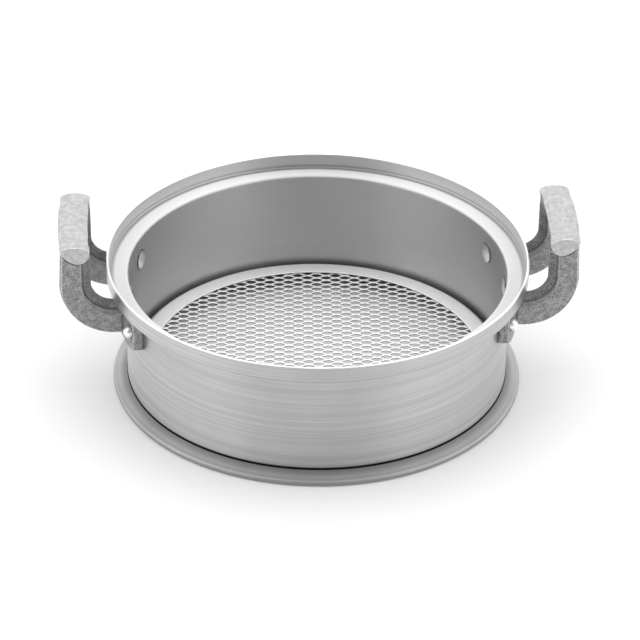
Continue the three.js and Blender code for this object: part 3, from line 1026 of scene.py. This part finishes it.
def spun_sheet(finish, shell, ring):
    """Spun body: turning lines outside, calm inside; painted light on the matt step, the rim and the lip's
    inner face; painted shade in the lip's fillet and on the inner wall's lowest part.
    """
    material, tree, shader = new_material("spun_sheet")
    step = shell.rim_height - shell.step_depth
    wall = wall_inner_radius(shell)
    lip = shell.lip_radius - shell.sheet
    inside = shell.rim_height - shell.foot_height + shell.step_width
    outer_face = calc(tree, "GREATER_THAN", distance_along(tree), inside)
    lines = turning_lines(tree, calc(tree, "ADD", calc(tree, "MULTIPLY", outer_face, 0.8), 0.2))
    clouds = grouped(tree, "smudges", smudges, {"Size": 0.045})["Tone"]
    colour = mix_tones(tree, lines, toned(finish.spun, 0.84), toned(finish.spun, 1.06))
    colour = mix_tones(tree, calc(tree, "MULTIPLY", clouds, 0.3), colour, toned(finish.spun, 0.92))
    rough = calc(tree, "ADD", finish.spun_roughness - 0.03, calc(tree, "MULTIPLY", clouds, 0.06))

    # Painted shade: the inner wall is darkened towards its lower edge, just above the ledge.
    wall_foot_shade = zone(tree, 0.0, 1.0, 0.0, ring.ledge_height + 0.002, 0.0055)
    wall_foot_shade = calc(tree, "MULTIPLY", wall_foot_shade, calc(tree, "SUBTRACT", 1.0, outer_face))
    colour = mix_tones(tree, wall_foot_shade, colour, toned(finish.spun, 0.5))
    # Painted light: the flat step takes the lighter flat colour, as a top light would make it, besides its
    # matt gloss.
    level = zone(tree, wall, lip - 0.0036, step - 0.0012, step + 0.0004, 0.0014)
    colour = mix_tones(tree, level, colour, (*finish.faced_and_lit, 1.0))
    rough = mix_values(tree, level, rough, finish.faced_roughness)
    # Painted shade in the concave fillet between the lip and the step.
    cove_shade = zone(tree, lip - 0.0028, lip - 0.0004, step - 0.0004, step + 0.0007, 0.0009)
    colour = mix_tones(tree, cove_shade, colour, toned(finish.spun, 0.72))
    # Painted light: the lip's inner face above the step is painted lighter.
    upright = zone(tree, lip - 0.0003, lip + 0.0003, step + 0.0022, 1.0, 0.0005)
    colour = mix_tones(tree, upright, colour, toned(finish.spun, 1.2))
    # Painted highlight along the rim's top.
    rim = zone(tree, lip, 1.0, shell.rim_height - 0.0006, 1.0, 0.0004)
    colour = mix_tones(tree, rim, colour, toned(finish.faced_and_lit, 1.2))
    lined_metal(tree, shader, lines, colour, rough, 0.8)
    return material


def pressed_ring(finish, shell, ring, outside):
    """Base ring: glossy foot; painted light on the matt ledge and its cut edge; painted shade on the
    underside, on the flange by the wall and on the bead's outer edge; a painted shadow under the wall.
    """
    material, tree, shader = new_material("pressed_ring")
    wall = wall_outer_radius(shell)
    inner = ledge_inner_radius(shell, ring)
    lines = turning_lines(tree, 0.5)
    clouds = grouped(tree, "smudges", smudges, {"Size": 0.03})["Tone"]
    colour = mix_tones(tree, lines, toned(finish.pressed, 0.92), toned(finish.pressed, 1.06))
    colour = mix_tones(tree, calc(tree, "MULTIPLY", clouds, 0.3), colour, toned(finish.pressed, 0.88))
    rough = calc(tree, "ADD", finish.pressed_roughness, calc(tree, "MULTIPLY", clouds, 0.06))

    # Painted light: the ledge takes the lighter flat colour, as a top light would make it, besides its matt
    # gloss.
    level = zone(tree, 0.0, wall, ring.ledge_height - 0.0004, 1.0, 0.0003)
    ledge = mix_tones(tree, lines, toned(finish.faced_and_lit, 1.06), toned(finish.faced_and_lit, 1.14))
    colour = mix_tones(tree, level, colour, ledge)
    rough = mix_values(tree, level, rough, finish.faced_roughness)
    # Painted highlight along the ledge's cut edge.
    edge = zone(tree, 0.0, inner + 0.0009, ring.ledge_height - 0.0006, 1.0, 0.0003)
    colour = mix_tones(tree, edge, colour, toned(finish.faced_and_lit, 1.15))
    # Painted shade: the ring's underside is painted near black.
    under = calc(tree, "GREATER_THAN", distance_along(tree), outside + ring.sheet)
    colour = mix_tones(tree, under, colour, toned(finish.pressed, 0.14))
    # Painted shade on the flange next to the wall, fading outwards.
    cove_shade = zone(tree, 0.0, wall + 0.0032, 0.0, shell.foot_height, 0.0056)
    colour = mix_tones(tree, cove_shade, colour, toned(finish.pressed, 0.42))
    # Painted shade on the outer edge of the rolled bead.
    rolled = zone(tree, ring.flange_radius - 0.0003, 1.0, 0.0, ring.bead_radius * 2, 0.0006)
    colour = mix_tones(tree, rolled, colour, toned(finish.pressed, 0.75))
    # Painted shadow: the flare is painted near black in the gap under the wall's lower edge.
    gap_shadow = zone(tree, wall - 0.0024, wall + 0.0003, 0.0, shell.foot_height + 0.0005, 0.0003)
    colour = mix_tones(tree, gap_shadow, colour, toned(finish.pressed, 0.05))
    rough = mix_values(tree, gap_shadow, rough, 0.9)
    lined_metal(tree, shader, lines, colour, rough, 0.4)
    return material


def expanded_sheet(finish):
    """Expanded sheet: bright, matt and even, with painted shade on the openings' cut walls and on the
    sheet's back.
    """
    material, tree, shader = new_material("expanded_sheet")
    clouds = grouped(tree, "smudges", smudges, {"Size": 0.004})["Tone"]
    bright = mix_tones(tree, clouds, toned(finish.expanded, 0.97), toned(finish.expanded, 1.03))
    # Painted shade on the openings' cut walls and the sheet's back.
    colour = mix_tones(tree, stored_share(tree, SHADED_SIDE_SHARE), bright, toned(finish.expanded, 0.15))
    tree.links.new(colour, shader.inputs["Base Color"])
    shader.inputs["Metallic"].default_value = 0.3
    gloss = calc(tree, "ADD", finish.expanded_roughness, calc(tree, "MULTIPLY", clouds, 0.08))
    tree.links.new(gloss, shader.inputs["Roughness"])
    grain = grouped(tree, "cast_skin", cast_skin, {"Size": 0.0004})["Height"]
    relief(tree, shader, grain, 0.15, 0.0001)
    return material


def sand_casting(finish):
    """Sand casting: grainy grey skin; the grip's top and the standing edges are ground and worn bright;
    shade is painted into the hollows.
    """
    material, tree, shader = new_material("sand_casting")
    skin_marks = grouped(tree, "cast_skin", cast_skin, {"Size": 0.0009})
    tone = skin_marks["Tone"]
    ground, worn, hollow = (stored_share(tree, name) for name in (GROUND_SHARE, WORN_SHARE, HOLLOW_SHADE_SHARE))
    rough_skin = mix_tones(tree, tone, toned(finish.cast, 0.4), toned(finish.cast, 1.6))
    patches = grouped(tree, "smudges", smudges, {"Size": 0.004})["Tone"]
    mottle = calc(tree, "ADD", calc(tree, "MULTIPLY", tone, 0.5), calc(tree, "MULTIPLY", patches, 0.5))
    ground_skin = mix_tones(tree, mottle, toned(finish.ground, 0.7), toned(finish.ground, 1.22))
    bared = calc(tree, "MULTIPLY", worn, spread(tree, tone, 0.1, 0.7, 0.35, 0.9))
    mask = calc(tree, "MAXIMUM", ground, bared, clamp=True)
    colour = mix_tones(tree, mask, rough_skin, ground_skin)
    colour = mix_tones(tree, calc(tree, "MULTIPLY", worn, 0.6), colour, toned(finish.ground, 1.6))
    # Painted shade in the hollows and inside the legs' bends.
    colour = mix_tones(tree, calc(tree, "MULTIPLY", hollow, 0.8), colour, toned(finish.cast, 0.3))
    tree.links.new(colour, shader.inputs["Base Color"])
    gloss = spread(tree, mask, 0.0, 1.0, finish.cast_roughness, finish.cast_roughness - 0.14)
    tree.links.new(gloss, shader.inputs["Roughness"])
    depth = spread(tree, ground, 0.0, 1.0, 1.0, 0.25)
    relief(tree, shader, calc(tree, "MULTIPLY", skin_marks["Height"], depth), 0.9, 0.0006)
    return material


def rivet_metal(finish, shadow_feet):
    """Upset rivets: bright, with small dents from the set, and painted shadow where the head's rim and the
    dome's base meet the metal.
    """
    material, tree, shader = new_material("rivet_metal")
    clouds = grouped(tree, "smudges", smudges, {"Size": 0.005})["Tone"]
    colour = mix_tones(tree, clouds, toned(finish.rivet, 0.85), toned(finish.rivet, 1.1))
    distance = distance_along(tree)
    # Painted shadow where the head's rim and the dome's base meet the metal.
    for foot in shadow_feet:
        near = calc(tree, "COMPARE", distance, foot, 0.0007)
        colour = mix_tones(tree, near, colour, toned(finish.rivet, 0.3))
    tree.links.new(colour, shader.inputs["Base Color"])
    gloss = calc(tree, "ADD", finish.rivet_roughness, calc(tree, "MULTIPLY", clouds, 0.12))
    tree.links.new(gloss, shader.inputs["Roughness"])
    relief(tree, shader, clouds, 0.2, 0.0003)
    return material


def sizes_of(scene, *names):
    """The groups of sizes with these names."""
    return [getattr(scene, f"steamer_{name}") for name in names]


def finish_of(name, build, *sizes):
    """A finish, built the first time that a piece asks for it."""
    return bpy.data.materials.get(name) or build(*sizes)


class STEAMER_OT_shell(bpy.types.Operator):
    """Make the spun body, with its rivet holes."""

    bl_idname = "steamer.shell"
    bl_label = "Spun body"

    def execute(self, context):
        scene = context.scene
        shell, ring, handle, rivet = sizes_of(scene, "shell", "ring", "handle", "rivet")
        piece = placed("spun_body", turned("spun_body", shell_section(shell), shell.steps))
        inner = wall_inner_radius(shell) - OVERRUN
        outer = wall_outer_radius(shell) + OVERRUN
        face = plate_face_radius(shell, ring, handle)
        height = plate_centre_height(shell, handle)
        hole_radius = rivet.shank_radius + HOLE_GAP
        for turn in SIDES.values():
            for direction in rivet_angles(face, rivet).values():
                hole = radial_bar(hole_radius, inner, outer, turn + direction, height, rivet.steps)
                combine(piece, "DIFFERENCE", hole)
        material = finish_of("spun_sheet", spun_sheet, scene.steamer_finish, shell, ring)
        finished(piece, "body_shell", material)
        return {"FINISHED"}


class STEAMER_OT_ring(bpy.types.Operator):
    """Make the base ring."""

    bl_idname = "steamer.ring"
    bl_label = "Base ring"

    def execute(self, context):
        scene = context.scene
        shell, ring = sizes_of(scene, "shell", "ring")
        section, path = ring_section(ring, shell)
        piece = placed("foot_ring", turned("foot_ring", section, shell.steps))
        outside = np.linalg.norm(np.diff(path, axis=0), axis=1).sum()
        material = finish_of("pressed_ring", pressed_ring, scene.steamer_finish, shell, ring, outside)
        finished(piece, "base_ring", material)
        return {"FINISHED"}


class STEAMER_OT_net(bpy.types.Operator):
    """Make the expanded mesh floor with its plain border."""

    bl_idname = "steamer.net"
    bl_label = "Mesh floor"

    def execute(self, context):
        scene = context.scene
        shell, ring, net = sizes_of(scene, "shell", "ring", "net")
        height = (NET_LOW.z + NET_HIGH.z) / 2
        piece = placed("mesh_floor", net_mesh(net, height, NET_HIGH.x))
        trim_radius = NET_HIGH.x - 2 * net.sheet
        tall = 5 * net.sheet
        trim = round_bar("trim", trim_radius, height - tall, height + tall, shell.steps)
        combine(piece, "INTERSECT", trim)
        combine(piece, "UNION", turned("border", border_section(shell, ring), shell.steps))
        shaded_side_faces(piece.data)
        material = finish_of("expanded_sheet", expanded_sheet, scene.steamer_finish)
        finished(piece, "mesh_disc", material, math.radians(50))
        return {"FINISHED"}


class STEAMER_OT_handles(bpy.types.Operator):
    """Make both cast handles from one casting, turned half round for the left."""

    bl_idname = "steamer.handles"
    bl_label = "Cast handles"

    def execute(self, context):
        scene = context.scene
        mesh = casting(*sizes_of(scene, "shell", "ring", "handle", "rivet"))
        material = finish_of("sand_casting", sand_casting, scene.steamer_finish)
        for side, turn in SIDES.items():
            turned_mesh = mesh.copy()
            turned_mesh.transform(Matrix.Rotation(turn, 4, "Z"))
            piece = placed(f"grip_casting_{side}", turned_mesh)
            finished(piece, f"handle_{side}", material)
        return {"FINISHED"}


class STEAMER_OT_rivets(bpy.types.Operator):
    """Make the six rivets."""

    bl_idname = "steamer.rivets"
    bl_label = "Rivets"

    def execute(self, context):
        scene = context.scene
        shell, ring, handle, rivet = sizes_of(scene, "shell", "ring", "handle", "rivet")
        face = plate_face_radius(shell, ring, handle)
        height = plate_centre_height(shell, handle)
        section = rivet_section(shell, ring, handle, rivet)
        travel = np.concatenate(((0,), np.cumsum(np.linalg.norm(np.diff(section, axis=0), axis=1))))
        # Distances along the section at which a shadow is painted round the head and the dome.
        shadow_feet = [travel[index] for index in (RIVET_CURVE, RIVET_CURVE + 4)]
        material = finish_of("rivet_metal", rivet_metal, scene.steamer_finish, shadow_feet)
        for side, turn in SIDES.items():
            for place, direction in rivet_angles(face, rivet).items():
                mesh = pointed_out(turned("rivet", section, rivet.steps), turn + direction, height)
                piece = placed(f"upset_rivet_{side}_{place}", mesh)
                finished(piece, f"rivet_{side}_{place}", material)
        return {"FINISHED"}


def floor_material(tone):
    """Plain pale matt floor."""
    material = bpy.data.materials.new("pale_floor")
    material.use_nodes = True
    shader = material.node_tree.nodes["Principled BSDF"]
    shader.inputs["Base Color"].default_value = (tone, tone, tone, 1.0)
    shader.inputs["Roughness"].default_value = 1.0
    shader.inputs["Specular IOR Level"].default_value = 0.0
    return material


def studio_world(studio):
    """Soft studio around the basket: bright backdrop, sides and top, and a dim side at the camera's end.

    The camera itself sees plain white. Every other ray sees a level that depends on its direction alone.
    """
    world = bpy.data.worlds.new("studio")
    bpy.context.scene.world = world
    world.use_nodes = True
    tree = world.node_tree
    tree.nodes.clear()
    direction = add(tree, "ShaderNodeTexCoord").outputs["Generated"]
    height = add(tree, "ShaderNodeSeparateXYZ", {"Vector": direction}).outputs["Z"]
    level = vector_calc(tree, "NORMALIZE", vector_calc(tree, "MULTIPLY", direction, (1.0, 1.0, 0.0)))
    towards = Vector(studio.camera_place) - Vector(studio.camera_aim)
    towards.z = 0
    both = {0: level, 1: towards.normalized()}
    facing = add(tree, "ShaderNodeVectorMath", both, operation="DOT_PRODUCT").outputs["Value"]
    around = spread(tree, facing, -0.2, -0.75, studio.side_light, studio.back_light)
    upper = spread(tree, height, 0.45, 0.95, 0.0, 1.0)
    lit = mix_values(tree, upper, around, studio.top_light)
    front = spread(tree, facing, 0.62, 0.9, 0.0, 1.0)
    low = spread(tree, height, 0.97, 0.8, 0.0, 1.0)
    dim = calc(tree, "MULTIPLY", front, low)
    strength = mix_values(tree, dim, lit, studio.front_light)
    camera_ray = add(tree, "ShaderNodeLightPath").outputs["Is Camera Ray"]
    seen = mix_values(tree, camera_ray, strength, 1.0)
    background = add(tree, "ShaderNodeBackground", {"Color": (1.0, 1.0, 1.0, 1.0), "Strength": seen})
    add(tree, "ShaderNodeOutputWorld", {"Surface": background.outputs[0]})


class STEAMER_OT_studio(bpy.types.Operator):
    """Make the floor, the soft light and the camera."""

    bl_idname = "steamer.studio"
    bl_label = "Studio"

    def execute(self, context):
        scene = context.scene
        studio = scene.steamer_studio
        half = studio.floor_size / 2
        drop = 0.00005
        sides = ((-half, -half), (half, -half), (half, half), (-half, half))
        corners = np.array([(x, y, -drop) for x, y in sides])
        floor = placed("pale_floor", mesh_of("pale_floor", corners, np.array(((0, 1, 2, 3),))))
        floor.data.materials.append(floor_material(studio.floor_tone))
        studio_world(studio)

        camera = bpy.data.objects.new("camera", bpy.data.cameras.new("camera"))
        scene.collection.objects.link(camera)
        camera.data.lens = studio.lens
        camera.data.clip_end = 100.0
        place = Vector(studio.camera_place)
        look = (Vector(studio.camera_aim) - place).normalized()
        right = look.cross(Vector((0, 0, 1))).normalized()
        above = right.cross(look)
        roll = studio.camera_roll
        x_axis = math.cos(roll) * right + math.sin(roll) * above
        y_axis = math.cos(roll) * above - math.sin(roll) * right
        axes = Matrix((x_axis, y_axis, -look)).transposed().to_4x4()
        camera.matrix_world = Matrix.Translation(place) @ axes
        scene.camera = camera
        scene.view_settings.view_transform = "Standard"
        return {"FINISHED"}


class STEAMER_PT_pieces(bpy.types.Panel):
    """Lists the pieces and their sizes."""

    bl_idname = "STEAMER_PT_pieces"
    bl_label = "Steamer basket"
    bl_space_type = "VIEW_3D"
    bl_region_type = "UI"
    bl_category = "Steamer"

    def draw(self, context):
        for operator in OPERATORS:
            self.layout.operator(operator.bl_idname)
        for name, group in GROUPS.items():
            box = self.layout.box()
            box.label(text=group.__doc__.split(":")[0].strip("."))
            for key in group.__annotations__:
                box.prop(getattr(context.scene, name), key)


OPERATORS = (
    STEAMER_OT_studio,
    STEAMER_OT_shell,
    STEAMER_OT_ring,
    STEAMER_OT_net,
    STEAMER_OT_handles,
    STEAMER_OT_rivets,
)


def register():
    """Registers the classes and hangs the groups of sizes on the scene."""
    for group in (*GROUPS.values(), *OPERATORS, STEAMER_PT_pieces):
        bpy.utils.register_class(group)
    for name, group in GROUPS.items():
        setattr(bpy.types.Scene, name, PointerProperty(type=group))


def unregister():
    """Takes the groups and classes away again."""
    for name in GROUPS:
        delattr(bpy.types.Scene, name)
    for group in reversed((*GROUPS.values(), *OPERATORS, STEAMER_PT_pieces)):
        bpy.utils.unregister_class(group)


def main():
    """Makes everything in order."""
    register()
    bpy.ops.steamer.studio()
    bpy.ops.steamer.shell()
    bpy.ops.steamer.ring()
    bpy.ops.steamer.net()
    bpy.ops.steamer.handles()
    bpy.ops.steamer.rivets()


if __name__ == "__main__":
    main()
